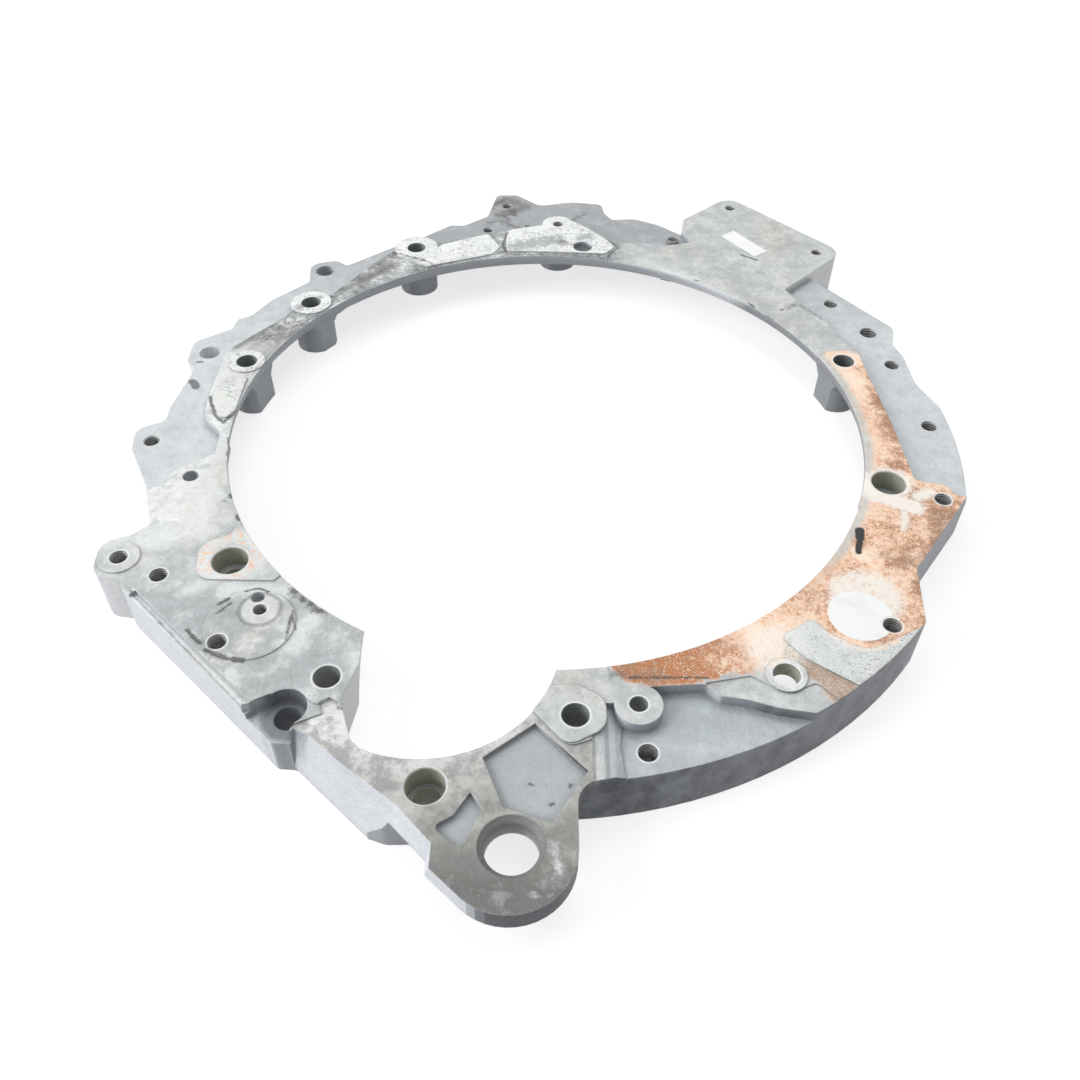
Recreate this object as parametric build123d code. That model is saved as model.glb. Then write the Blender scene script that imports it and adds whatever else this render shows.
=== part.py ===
from build123d import *
import os
from math import atan2, cos, degrees, radians, sin

# A cast aluminium ring plate that bolts between an engine and a gearbox.
# +Z points to the engine side, which carries the machined lands, and +Y is away from the lobe.
# All sizes are millimetres, and all heights are measured up from the plane the plate rests on.
# Places on the plate are measured from the centre of its main opening. The last step moves the
# origin to the middle of the plate's outline box, still on the resting plane.

# Heights of the faces
PLATE_HEIGHT = 29.0        # machined lands
CAST_DROP = 0.6            # cast face below the lands
BAND_DROP = 1.2            # smooth band and side flange below the lands
LEDGE_DROP = 6.0           # outer ledges below the lands
POCKET_DROP = 7.0          # floor of the large pocket below the lands
LOBE_DROP = 1.2            # lobe and its arm below the lands
PANEL_DEPTH = 2.4          # sunk panels beside the lobe bore
LOBE_THICKNESS = 10.0      # lobe plate, whose underside is free
DECK = 8.0                 # thickness of the faces over the cored underside
WALL = 7.0                 # outer wall round the cored underside
LEDGE_WALL = 3.0           # least metal beside the step down to a ledge

LAND_Z = PLATE_HEIGHT
CAST_Z = PLATE_HEIGHT - CAST_DROP
BAND_Z = PLATE_HEIGHT - BAND_DROP
LEDGE_Z = PLATE_HEIGHT - LEDGE_DROP
POCKET_Z = PLATE_HEIGHT - POCKET_DROP
LOBE_Z = PLATE_HEIGHT - LOBE_DROP
POST_TOP_Z = LEDGE_Z - 1.0  # posts end inside the faces they carry
BOSS_TOP_Z = LEDGE_Z - 2.0  # bosses end and lands start inside them too
BELOW_Z = -1.0             # cuts through the underside start here
ABOVE_Z = PLATE_HEIGHT + 1.0

# Main opening, outer rim and starter cut-out
OPENING_R = 170.0
OPENING_FLARE = 2.5        # the opening widens by this much towards the underside
OPENING_LIP = 3.0          # straight part of its edge
RIM_R = 222.0
RIM_START = 5.4            # angles on the rim, in degrees
FLAT_START = -14.5
FLAT_END = -39.4
RIM_END = -82.6
FLAT_CORNER = (175.5, -108.0)
STARTER_X, STARTER_Y, STARTER_R = -52.0, -157.0, 58.0

# Holes
DOWEL_D = 17.0             # bores for the hollow dowels
DOWEL_INNER_D = 11.0
DOWEL_DEPTH = 12.0
BOLT_D = 12.0              # clearance for M12
LOBE_BORE_D = 21.5
LOBE_CHAMFER = 2.4
COUNTERBORE_D = 16.2
COUNTERBORE_DEPTH = 12.0
M8_CORE_D = 6.8
M10_CORE_D = 8.5
M12_CORE_D = 10.2
RINGED_CORE_D = 6.4        # the small hole beside the dowel's land
MOUTH_CHAMFER = 0.6
RIM_READ = 0.2             # a hole's face is read this far outside its rim
POST_R = 12.2
FLARE_R = 16.0             # posts widen to this just under the deck
FLARE_Z = 15.0
BOSS_WALL = 5.0            # metal round a hole under the deck
BOSS_SIDES = 8
SPOTFACE_WALL = 4.5        # metal round the recess beside the arm
WEB = 6.0                  # webs from the posts to the outer wall
WEB_REACH = 60.0

# Outer outline, counter-clockwise from the rim's upper end to its lower end: x, y, corner radius
NORTH_EDGE = [
    (212.6, 42, 22), (211.8, 68, 12), (208.2, 81, 2), (212.8, 98, 9), (172, 153, 1),
    (91.5, 208.5, 4), (77, 221.5, 14), (61, 229.5, 12), (45.5, 228, 3), (40.5, 236.5, 3),
    (38.5, 249.6, 4), (18, 253, 30), (-5, 247, 8), (-22, 262.5, 4), (-36, 262, 4),
    (-41.5, 231.5, 5), (-57.5, 218, 5), (-66.5, 218.5, 4), (-84, 202.5, 8), (-101, 190.5, 10),
    (-131.5, 164.5, 3), (-139, 171, 7), (-155.5, 166, 8), (-153, 144.5, 4), (-173, 123.5, 30),
    (-183, 105.2, 6), (-190, 101.5, 1.2), (-191.5, 91.5, 1.2), (-201.5, 84, 4), (-211.5, 77.5, 9),
    (-210.8, 58, 6), (-204.6, 50, 4), (-209.8, 15, 12), (-209.5, 3, 6), (-223.8, -5, 8),
    (-221.5, -21, 8), (-204.5, -52, 14), (-199.5, -67.5, 20), (-193.5, -83, 3),
]
SOUTH_EDGE = [
    (-201, -91, 6), (-214, -96, 9), (-212.5, -117.5, 9), (-198.5, -119.5, 2), (-196, -124.6, 2),
    (-113.9, -202.8, 4), (-106, -203.2, 5), (13, -314.2, 26.5), (13, -227, 11),
]
FLANGE = [
    (150.8, 133.3, 0), (196.4, 179.2, 12), (129.0, 253.1, 11), (94.3, 220.5, 5), (91.0, 203, 2),
    (97.8, 180, 0), (120, 150, 0),
]

# Lowered faces, as outlines that run out past the plate
WEST_LEDGE = [
    (-240, -62, 0), (-194.4, -56, 4), (-192.7, -45, 5), (-181.5, -35.5, 8), (-173.6, -30, 3),
    (-174.8, -11.7, 6), (-186, 0, 6), (-188, 15, 12), (-187.6, 55, 6), (-184.2, 65.5, 8),
    (-159.3, 96.4, 12), (-152, 114, 4), (-135, 121, 8), (-112, 160, 12), (-97, 180, 6),
    (-99, 205, 0), (-240, 205, 0),
]
NORTH_LEDGE = [
    (-106, 215, 0), (-104, 184, 0), (-86.5, 180, 0), (-72, 184.5, 5), (-40.5, 198.3, 12),
    (-4.4, 209, 6), (16, 217, 8), (37, 196, 4), (44, 188, 4), (62, 189.5, 12), (80, 186, 12),
    (97, 190, 3), (92, 212, 0), (75, 275, 0), (-106, 275, 0),
]
EAST_LEDGE = [
    (150.8, 133.3, 0), (158.1, 118.1, 12), (171.3, 96.7, 12), (175.8, 82.2, 10), (183.4, 66.2, 10),
    (184.2, 48, 20), (188, 0, 60), (189.6, -46.2, 4), (204.6, -49.6, 4), (208.2, -57.5, 3),
    (232, -60, 0), (245, 100, 0), (212, 195, 0),
]
NORTH_BAND = [
    (38, 155, 0), (40, 171.4, 3), (46.7, 181.2, 5), (40.5, 197, 3), (45, 235, 0), (60, 265, 0),
    (240, 265, 0), (240, 70, 0), (187, 58, 0), (180.5, 66.8, 8), (167, 68.5, 8), (160, 60, 3),
    (150, 60, 0),
]
POCKET = [
    (33, -190, 0), (38, -178.8, 0), (68.8, -176.6, 5), (74.5, -182.4, 5), (85.9, -184.3, 12),
    (98.3, -188.3, 12), (116.5, -191.2, 8), (124.5, -186.5, 3), (134, -196, 0), (110, -225, 0),
    (33, -240, 0), (33, -222, 0), (31, -205, 4),
]
LOBE_FACE = [
    (-130, -215, 0), (-104, -199, 0), (-86.5, -190.5, 3), (-70, -180, 0), (-20, -165, 0),
    (-6, -190, 3), (9.5, -208.4, 5), (18, -205.5, 5), (27, -197, 0), (36, -240, 0), (15, -300, 0),
    (-60, -300, 0),
]
DIAMOND_PANEL = [
    (-4.1, -197.0, 2), (-25.2, -213.8, 2), (-16.4, -236, 1), (2.9, -242.5, 1.5), (17.4, -219.6, 2),
]
SMALL_PANEL = [
    (-29.3, -229.6, 2), (-24.1, -237.1, 2), (-32.3, -254.5, 3), (-43.4, -244.6, 2.5),
    (-35.4, -239.7, 4),
]

# Raised machined lands, beside the round ones that go with the holes
DOWEL_LAND = [
    (-150.2, -82, 0), (-152.4, -90.4, 5), (-166.5, -96, 10), (-163, -119.6, 9), (-126.4, -119.9, 2),
    (-120, -112, 0),
]
BOLT_LAND = [
    (-79, -160.2, 0), (-103, -164.3, 6), (-109, -171, 4), (-106.6, -181, 6), (-97.1, -188.8, 4),
    (-84.6, -191, 2), (-79, -180, 0),
]
STARTER_LAND = [
    (-2, -178, 3), (-7, -189, 3), (9.2, -208.6, 6), (25.8, -199.5, 10), (25.4, -184.5, 9),
    (14, -178.4, 3),
]
PLATEAU_LAND = [
    (104.6, -150.5, 3), (113.5, -162.6, 2), (135.2, -177.9, 0), (180, -160, 0), (174, -141, 1),
    (163, -147.5, 6), (142, -158.6, 12), (127, -149, 10), (120, -140.2, 3),
]
NORTH_LANDS = [
    [(-99, 168, 2), (-77, 170, 3), (-70, 182.5, 4), (-39.5, 197, 3), (-31, 180, 3), (-36, 171, 3),
     (-78, 155, 2)],
    [(-27, 175, 3), (-27.5, 202, 6), (-4, 209, 6), (16.5, 217, 8), (37, 195.5, 5), (45.5, 181.5, 5),
     (38.5, 172.8, 4), (0, 174.5, 20)],
]
WEST_LAND = [
    (-169.8, 34.9, 1.5), (-180.2, 36.3, 2), (-185.2, 27, 8), (-185.5, 6, 8), (-175.7, -1.6, 4),
    (-170.6, 1, 2),
]

ROUND_LANDS = [
    (-173.2, 50.4, 10.5), (-145.8, 111.9, 12.4), (-86.5, 178.1, 14.2), (7.4, 210.8, 10.6),
    (103.8, -171.7, 9.0), (-132.3, -146.2, 20.3), (-202.4, -106.1, 10.0),
]

# Tapped holes, which all go right through: x, y and core diameter of each
TAPPED = {
    "ear": [(-202.4, -106.1, M10_CORE_D), (-212.6, -14.2, M10_CORE_D), (-28.5, 246.5, M8_CORE_D)],
    "block": [(-180.9, -116.7, M10_CORE_D), (-144.5, -156.6, M10_CORE_D),
              (-129.3, -137.8, RINGED_CORE_D)],
    "east": [(179.2, 124.7, M10_CORE_D), (196.4, 93.3, M12_CORE_D), (203.3, 60.6, M10_CORE_D),
             (211.0, 4.3, M10_CORE_D), (200.3, -60.2, M10_CORE_D), (155.9, -143.2, M10_CORE_D)],
    "flange": [(128.6, 237.4, M8_CORE_D), (178.8, 178.8, M8_CORE_D)],
    "north": [(-40.6, 212.5, M8_CORE_D), (7.4, 210.8, M8_CORE_D), (85.0, 195.2, M8_CORE_D)],
    "pocket": [(42.4, -207.2, M10_CORE_D)],
}
POSTS = [(-173.2, 50.4), (-145.8, 111.9), (-86.5, 178.1), (7.4, 210.8), (173.0, 56.7)]
POST_BOLTS = [POSTS[0], POSTS[1], POSTS[2], POSTS[4]]
PLAIN_BOLTS = [(12.6, -193.6), (-93.5, -175.1), (-199.5, 66.6), (-144.7, 158.2)]
DECK_HOLES = [(103.8, -171.7, BOLT_D), (39.3, -187.4, 8.0), (-182.2, -48.0, 8.0)]
DOWELS = [(-149.3, -107.4), (175.7, -47.9)]
LOBE_BORE = (-12.5, -252.5)
COUNTERBORE = (-47.2, -227.0)
SPOTFACE = (-108.8, -190.6)
SPOTFACE_R = 9.4
SPOTFACE_DROP = 9.0
DIMPLE = (23.8, 181.5)
DIMPLE_D = 12.8
DIMPLE_DEPTH = 2.5
DIMPLE_SLOPE = 1.0         # how much narrower it is at its floor, on each side
PIT = (-131.6, -130.4)
PIT_D = 6.4
PIT_DEPTH = 4.0
DECK_BOSS = (39.3, -187.4)
DECK_BOSS_R = 10.4

# Paper labels
LABEL_THICKNESS = 0.2
LABEL_GAP = 0.9            # between the round label and the hole that bites its edge
ROUND_LABEL = (142.6, -137.8)
ROUND_LABEL_R = 14.6
STRIP_CENTRE = (132.2, 189.2)
STRIP_LENGTH = 32.5
STRIP_WIDTH = 11.4
STRIP_ANGLE = -54.0

# The straight lower left side, as an angle and distances along it and out from the origin
SIDE_ANGLE = -43.5
LIP_START, LIP_END, LIP_OUT = -50.0, 38.0, 221.8
LIP_Z = LAND_Z - 2.4
SLOPE_TOP = [
    (63, 216.6), (70, 214.2), (90, 213.6), (120, 210.4), (142, 211.8), (150, 220.5), (150, 260),
    (63, 260),
]
SLOPE_FOOT = [
    (63, 220.9), (70, 221), (90, 221), (120, 221), (141, 221), (143, 222), (150, 260), (63, 260),
]
SLOPE_FOOT_Z = 2.0

# More outlines: finger beside the pocket, mouths of the recess, limits of the cuts
FINGER = [
    (68.8, -176, 0), (88.7, -171.9, 4), (96, -177, 4), (103.8, -181, 6), (109.5, -178.6, 3),
    (116.3, -175.2, 3), (124.5, -184.5, 2), (132, -192, 0), (110, -205, 0), (68, -190, 0),
]
SPOTFACE_MOUTH = [
    (-122.8, -187.2, 2), (-116.3, -183.7, 0), (-108.8, -186, 0), (-103, -197.4, 0),
    (-104.6, -200.2, 2), (-106.6, -207, 0), (-112, -215, 0), (-135, -200, 0),
]
SIDE_NICK = [(-128, -189.4, 0.5), (-122.6, -188.8, 1), (-122.5, -205, 0)]
NICK_DROP = 6.0
POCKET_CORE = [
    (20, -170, 6), (70, -168, 6), (120, -178, 6), (160, -205, 0), (30, -250, 0), (16, -215, 0),
]
ARM_CORE = [
    (-104, -178, 0), (-70, -140, 0), (-10, -140, 0), (-2, -200, 0), (6, -230, 0), (40, -330, 0),
    (-110, -330, 0), (-112, -215, 0),
]
LOBE_RELIEF = [
    (-78, -233, 0), (-64, -237.8, 8), (-50, -237.4, 8), (-34, -228, 6), (-30, -200, 0),
    (45, -200, 0), (45, -330, 0), (-90, -330, 0),
]
# The starter cut-out's side wall leans outwards from its top to its foot
STARTER_TOP = [
    (-80.3, -110), (-80.3, -152), (-80.3, -167), (-86, -187), (-79.4, -206), (-60, -225),
    (30, -225), (30, -110),
]
STARTER_FOOT = [
    (-87, -110), (-86.8, -152), (-84, -168.5), (-86.4, -185), (-80.6, -206), (-60, -225),
    (30, -225), (30, -110),
]
RAMP_START_X, RAMP_END_X, RAMP_LOW_Y, RAMP_WIDTH = 19.0, 34.0, -187.0, 60.0
# The curved lower wall leans outwards to its foot, most at the lobe's end
SKIRT_FOOT_CENTRE = (-3.5, -3.9)
SKIRT_FOOT_R = 222.3
SKIRT_START, SKIRT_END = -93.0, -41.0
# A crescent cast into the land beside the starter cut-out
CRESCENT = [
    (-95, -188.6, 1.5), (-91, -185.6, 2), (-86.6, -188, 1.5), (-87.4, -193, 1.5), (-93, -193.6, 1.5),
]
CRESCENT_DEPTH = 1.6

LEAST_RADIUS = 2.0         # corners rounded no more than this are left sharp
BIG = 400.0                # past the plate on every side


def polar(radius, angle):
    return (radius * cos(radians(angle)), radius * sin(radians(angle)))


def corner_radii(points):
    """The radius given with each point, or none where it is too small to show."""
    return [radius if radius > LEAST_RADIUS else 0 for x, y, radius in points]


def closed_face(points):
    """A face whose corners have the radius given with each point."""
    corners = [(x, y) for x, y, radius in points]
    return make_face(FilletPolyline(*corners, radius=corner_radii(points), close=True).edges())


def prism(face, low, high):
    return Pos(0, 0, low) * extrude(face, amount=high - low)


def cylinder(x, y, radius, low, high):
    return Pos(x, y, (low + high) / 2) * Cylinder(radius, high - low)


def cone(x, y, low_radius, high_radius, low, high):
    return Pos(x, y, (low + high) / 2) * Cone(low_radius, high_radius, high - low)


def ring_outline():
    """The ring's outer edge: free edge, rim arcs and the flat between them."""
    start = polar(RIM_R, RIM_START)
    end = polar(RIM_R, RIM_END)
    edge = NORTH_EDGE + SOUTH_EDGE
    corners = [start] + [(x, y) for x, y, radius in edge] + [end]
    flat_low = polar(RIM_R, FLAT_END)
    flat_high = polar(RIM_R, FLAT_START)
    lines = FilletPolyline(*corners, radius=corner_radii(edge)).edges()
    lines += CenterArc((0, 0), RIM_R, RIM_END, FLAT_END - RIM_END).edges()
    lines += Polyline(flat_low, FLAT_CORNER, flat_high).edges()
    lines += CenterArc((0, 0), RIM_R, FLAT_START, RIM_START - FLAT_START).edges()
    return make_face(lines)


def side_point(along, out):
    """A point given by its distance along and out from the straight lower left side."""
    ux, uy = polar(1, SIDE_ANGLE)
    return (along * ux + out * uy, along * uy - out * ux)


def polygon(points):
    return make_face(Polyline(*points, close=True).edges())


def leaning(foot, foot_z, top, top_z):
    """A solid between two outlines with the same number of corners at two heights."""
    sections = [Pos(0, 0, foot_z) * polygon(foot), Pos(0, 0, top_z) * polygon(top)]
    return loft(sections, ruled=True)


def sector(start, end):
    """A pie slice from the centre, between two angles less than 120 degrees apart."""
    middle = (start + end) / 2
    return polygon([(0, 0), polar(BIG, start), polar(BIG, middle), polar(BIG, end)])


def build_shell(outline):
    """The full-height body with its faces at their levels."""
    body = prism(outline, 0, CAST_Z)
    body -= prism(closed_face(WEST_LEDGE), LEDGE_Z, BIG)
    body -= prism(closed_face(NORTH_LEDGE), LEDGE_Z, BIG)
    body -= prism(closed_face(EAST_LEDGE) - closed_face(FLANGE), LEDGE_Z, BIG)
    body -= prism(closed_face(NORTH_BAND), BAND_Z, BIG)
    body -= prism(closed_face(LOBE_FACE), LOBE_Z, BIG)
    body -= prism(closed_face(FINGER), BAND_Z, BIG)
    lip = [(LIP_START, LIP_OUT), (LIP_END, LIP_OUT), (LIP_END, BIG), (LIP_START, BIG)]
    body -= prism(polygon([side_point(along, out) for along, out in lip]), LIP_Z, BIG)
    return body


def build_skirt():
    """The lean that the curved lower wall has towards its foot."""
    sections = [Pos(*SKIRT_FOOT_CENTRE) * Circle(SKIRT_FOOT_R), Pos(0, 0, POCKET_Z) * Circle(RIM_R)]
    ring = loft(sections) - cylinder(0, 0, RIM_R - WALL, BELOW_Z, PLATE_HEIGHT)
    return ring & prism(sector(SKIRT_START, SKIRT_END), BELOW_Z, PLATE_HEIGHT)


def core_underside(outline):
    """What the casting leaves open below its faces, deeper under the higher faces."""
    inside = offset(outline, -WALL)
    ledges = closed_face(WEST_LEDGE) + closed_face(NORTH_LEDGE) + closed_face(EAST_LEDGE)
    lowered = offset(ledges, LEDGE_WALL) + closed_face(POCKET_CORE)
    solid_part = closed_face(ARM_CORE)
    low = prism(inside - solid_part, BELOW_Z, LEDGE_Z - DECK)
    high = prism(inside - solid_part - lowered, BELOW_Z, LAND_Z - DECK)
    return low + high


def build_posts(outline):
    """Round posts that flare into the deck, and their webs to the outer wall."""
    posts = []
    for x, y in POSTS:
        out = degrees(atan2(y, x))
        reach = Pos(x, y) * Rot(0, 0, out) * Pos(WEB_REACH / 2, 0) * Rectangle(WEB_REACH, WEB)
        posts.append(prism(reach & outline, 0, POST_TOP_Z))
        posts.append(cylinder(x, y, POST_R, 0, FLARE_Z))
        posts.append(cone(x, y, POST_R, FLARE_R, FLARE_Z, POST_TOP_Z))
    return posts


def build_bosses(outline):
    """Columns of metal round the holes that the deck is too thin for."""
    columns = [(x, y, d / 2 + BOSS_WALL) for holes in TAPPED.values() for x, y, d in holes]
    columns += [(x, y, BOLT_D / 2 + BOSS_WALL) for x, y in PLAIN_BOLTS]
    columns += [(x, y, DOWEL_D / 2 + BOSS_WALL) for x, y in DOWELS]
    columns.append((*SPOTFACE, SPOTFACE_R + SPOTFACE_WALL))
    bosses = []
    for x, y, radius in columns:
        footprint = Pos(x, y) * RegularPolygon(radius, BOSS_SIDES, major_radius=False) & outline
        bosses.append(prism(footprint, 0, BOSS_TOP_Z))
    return bosses


def build_lands(outline):
    """Machined lands that stand a little above the cast faces."""
    faces = [closed_face(points) for points in
             [DOWEL_LAND, BOLT_LAND, STARTER_LAND, PLATEAU_LAND, WEST_LAND] + NORTH_LANDS]
    faces += [Pos(x, y) * Circle(radius) for x, y, radius in ROUND_LANDS]
    return [prism(face & outline, BOSS_TOP_Z, LAND_Z) for face in faces]


def cut_openings(body):
    """The main opening with its flare, and the starter motor's cut-out."""
    flare_z = LAND_Z - DECK
    body -= cylinder(0, 0, OPENING_R, LAND_Z - OPENING_LIP, BIG)
    body -= cone(0, 0, OPENING_R + OPENING_FLARE, OPENING_R, flare_z, LAND_Z - OPENING_LIP)
    body -= cylinder(0, 0, OPENING_R + OPENING_FLARE, BELOW_Z, flare_z)
    starter = cylinder(STARTER_X, STARTER_Y, STARTER_R, BELOW_Z, ABOVE_Z)
    return body - (starter & leaning(STARTER_FOOT, BELOW_Z, STARTER_TOP, ABOVE_Z))


def cut_pocket(body):
    """The large pocket, with the ramp that brings the lobe's neck down to its floor."""
    keep = Pos(*DECK_BOSS) * Circle(DECK_BOSS_R) + closed_face(STARTER_LAND)
    body -= prism(closed_face(POCKET) - keep, POCKET_Z, BIG)
    ramp = Plane(origin=(0, RAMP_LOW_Y, 0), x_dir=(1, 0, 0), z_dir=(0, -1, 0))
    profile = Polyline((RAMP_START_X, LOBE_Z), (RAMP_END_X, POCKET_Z), (RAMP_END_X, ABOVE_Z),
                       (RAMP_START_X, ABOVE_Z), close=True)
    wedge = extrude(ramp * make_face(profile.edges()), amount=RAMP_WIDTH)
    return body - (wedge - prism(keep, 0, BIG))


def cut_lobe(body):
    """The lobe's free underside, its sloping side and the sunk panels on its face."""
    relief = closed_face(LOBE_RELIEF) - Circle(RIM_R)
    body -= prism(relief, BELOW_Z, LOBE_Z - LOBE_THICKNESS)
    foot = [side_point(along, out) for along, out in SLOPE_FOOT]
    top = [side_point(along, out) for along, out in SLOPE_TOP]
    body -= leaning(foot, SLOPE_FOOT_Z, top, LAND_Z)
    for panel in (DIAMOND_PANEL, SMALL_PANEL):
        body -= prism(closed_face(panel), LOBE_Z - PANEL_DEPTH, BIG)
    return body


def cut_spotface(body):
    """The recess round the bolt hole beside the lobe's arm, open to the outside."""
    floor_z = LAND_Z - SPOTFACE_DROP
    x, y = SPOTFACE
    body -= cylinder(x, y, SPOTFACE_R, floor_z, BIG)
    body -= prism(closed_face(SPOTFACE_MOUTH), floor_z, BIG)
    body -= prism(closed_face(SIDE_NICK), LAND_Z - NICK_DROP, BIG)
    return body - cylinder(x, y, BOLT_D / 2, BELOW_Z, BIG)


def drill(x, y, diameter, low, top):
    """A hole down to low through the face at height top, with a small chamfer at its mouth."""
    hole = cylinder(x, y, diameter / 2, low, ABOVE_Z)
    mouth = cone(x, y, diameter / 2, diameter / 2 + MOUTH_CHAMFER, top - MOUTH_CHAMFER, top)
    return hole + mouth


def face_height(body, x, y, reach):
    """The height of the face round a hole, read just outside its rim."""
    ring = cylinder(x, y, reach + RIM_READ, 0, ABOVE_Z) - cylinder(x, y, reach, 0, ABOVE_Z)
    return (body & ring).bounding_box().max.Z


def build_holes(body):
    """Every hole but the spotfaced one, as solids to cut away."""
    plain = [hole for holes in TAPPED.values() for hole in holes] + DECK_HOLES
    plain += [(x, y, BOLT_D) for x, y in POST_BOLTS + PLAIN_BOLTS]
    cutters = [cylinder(x, y, diameter / 2, BELOW_Z, ABOVE_Z) for x, y, diameter in plain]
    for x, y in DOWELS:
        top = face_height(body, x, y, DOWEL_D / 2)
        cutters.append(drill(x, y, DOWEL_D, top - DOWEL_DEPTH, top))
        cutters.append(cylinder(x, y, DOWEL_INNER_D / 2, BELOW_Z, LAND_Z))
    x, y = COUNTERBORE
    cutters.append(drill(x, y, COUNTERBORE_D, LOBE_Z - COUNTERBORE_DEPTH, LOBE_Z))
    cutters.append(cylinder(x, y, BOLT_D / 2, BELOW_Z, LOBE_Z))
    x, y = LOBE_BORE
    radius = LOBE_BORE_D / 2
    cutters.append(cylinder(x, y, radius, 0, BIG))
    cutters.append(cone(x, y, radius, radius + LOBE_CHAMFER, LOBE_Z - LOBE_CHAMFER, LOBE_Z))
    x, y = DIMPLE
    radius = DIMPLE_D / 2
    cutters.append(cone(x, y, radius - DIMPLE_SLOPE, radius, LAND_Z - DIMPLE_DEPTH, LAND_Z))
    x, y = PIT
    cutters.append(cylinder(x, y, PIT_D / 2, LAND_Z - PIT_DEPTH, BIG))
    return cutters


def build_crescent():
    """The crescent, as a solid to cut away."""
    return prism(closed_face(CRESCENT), LAND_Z - CRESCENT_DEPTH, BIG)


def build_plate():
    outline = ring_outline() + closed_face(FLANGE)
    body = build_shell(outline) - core_underside(outline)
    body += build_posts(outline) + build_bosses(outline) + build_lands(outline)
    body = cut_openings(body)
    body = cut_pocket(body)
    body = cut_lobe(body) + build_skirt()
    body = cut_spotface(body)
    return body - (build_holes(body) + [build_crescent()])


def build_round_label():
    """The disc on the cast face by the corner hole, which bites its edge."""
    x, y = ROUND_LABEL
    hole_x, hole_y, hole_d = TAPPED["east"][-1]
    disc = cylinder(x, y, ROUND_LABEL_R, CAST_Z, CAST_Z + LABEL_THICKNESS)
    return disc - cylinder(hole_x, hole_y, hole_d / 2 + LABEL_GAP, 0, BIG)


def build_strip_label():
    """The strip on the side flange."""
    x, y = STRIP_CENTRE
    strip = Box(STRIP_LENGTH, STRIP_WIDTH, LABEL_THICKNESS)
    return Pos(x, y, BAND_Z + LABEL_THICKNESS / 2) * Rot(0, 0, STRIP_ANGLE) * strip


def main():
    os.makedirs("parts", exist_ok=True)
    nodes = {
        "adapter_plate": build_plate(),
        "round_label": build_round_label(),
        "strip_label": build_strip_label(),
    }
    middle = nodes["adapter_plate"].bounding_box().center()
    for name, solid in nodes.items():
        export_step(Pos(-middle.X, -middle.Y, 0) * solid, f"parts/{name}.step")


main()
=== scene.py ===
"""Dresses and lights a cast ring plate that joins an engine to a gearbox.

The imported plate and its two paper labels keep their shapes. This script paints them, cuts thread
ridges into the tapped holes, and sets up a plain white studio seen from the photograph's angle.
"""

from __future__ import annotations

import logging
import math
from dataclasses import dataclass, field
from enum import Enum
from typing import Any, Sequence, Union

import bpy
from mathutils import Matrix, Vector


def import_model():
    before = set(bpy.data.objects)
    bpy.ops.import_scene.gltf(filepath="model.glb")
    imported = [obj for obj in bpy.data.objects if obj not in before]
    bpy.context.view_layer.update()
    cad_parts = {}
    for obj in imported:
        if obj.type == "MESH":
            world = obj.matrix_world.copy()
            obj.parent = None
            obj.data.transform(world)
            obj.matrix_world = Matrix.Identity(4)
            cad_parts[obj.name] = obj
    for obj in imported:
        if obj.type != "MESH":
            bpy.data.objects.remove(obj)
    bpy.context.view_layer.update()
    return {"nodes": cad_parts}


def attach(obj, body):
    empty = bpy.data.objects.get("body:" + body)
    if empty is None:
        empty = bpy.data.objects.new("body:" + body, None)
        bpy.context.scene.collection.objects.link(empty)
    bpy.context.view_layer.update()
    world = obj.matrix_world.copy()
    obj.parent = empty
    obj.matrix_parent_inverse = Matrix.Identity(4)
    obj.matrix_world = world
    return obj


LOG = logging.getLogger("ring_plate")
MM = 0.001
Colour = tuple[float, float, float]
Place = tuple[float, float]
# A hole is its place and a radius, or its place and the height of the face it starts from.
Hole = tuple[float, float, float]
# A border is where a finish changes, and how softly: along an axis or outwards in millimetres, or
# round the opening in degrees. A band is a lower border, an upper one and their softness. North is
# away from the lobe and east is the rusty side.
Border = tuple[float, float]
Band = tuple[float, float, float]
# The model's origin is the middle of its outline box. Places on the plate are measured from the
# centre of its main opening, which lies this far from it, in millimetres.
OPENING_CENTRE: Place = (0.5499, 8.6492)
# Heights of the plate's faces over the plane it rests on.
LAND_Z = 29.0
CAST_Z = 28.4
BAND_Z = 27.8
LEDGE_Z = 23.0
POCKET_Z = 22.0
# Radii of its plain and stepped holes, and the holes that several finishes refer to.
BOLT_R = 6.0
DOWEL_R = 8.5
COUNTERBORE_R = 8.1
WEST_DOWEL: Place = (-149.3, -107.4)
EAST_DOWEL: Place = (175.7, -47.9)
COUNTERBORE: Place = (-47.2, -227.0)
STAINED_BOLT: Place = (103.8, -171.7)
RINGED_HOLE: Place = (-129.3, -137.8)
# Which sockets of a Mix node hold its colours.
MIX_UNDER = 6
MIX_OVER = 7
MIX_RESULT = 2


def plan(x: float, y: float, z: float = 0.0) -> Vector:
    """Turns a place on the plate into a model position.

    Args:
        x: Millimetres to the right of the opening's centre.
        y: Millimetres beyond the opening's centre, away from the lobe.
        z: Millimetres above the plane the plate rests on.

    Returns:
        The position in metres.
    """
    return Vector((x + OPENING_CENTRE[0], y + OPENING_CENTRE[1], z)) * MM


def shade(red: int, green: int, blue: int) -> Colour:
    """Turns a display colour from 0 to 255 into the linear colour a shader takes.

    Args:
        red: Red as displayed.
        green: Green as displayed.
        blue: Blue as displayed.

    Returns:
        The linear colour.
    """
    def linear(level: int) -> float:
        """Linear value of one displayed channel."""
        part = level / 255
        return part / 12.92 if part <= 0.04045 else ((part + 0.055) / 1.055) ** 2.4

    return linear(red), linear(green), linear(blue)


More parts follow.
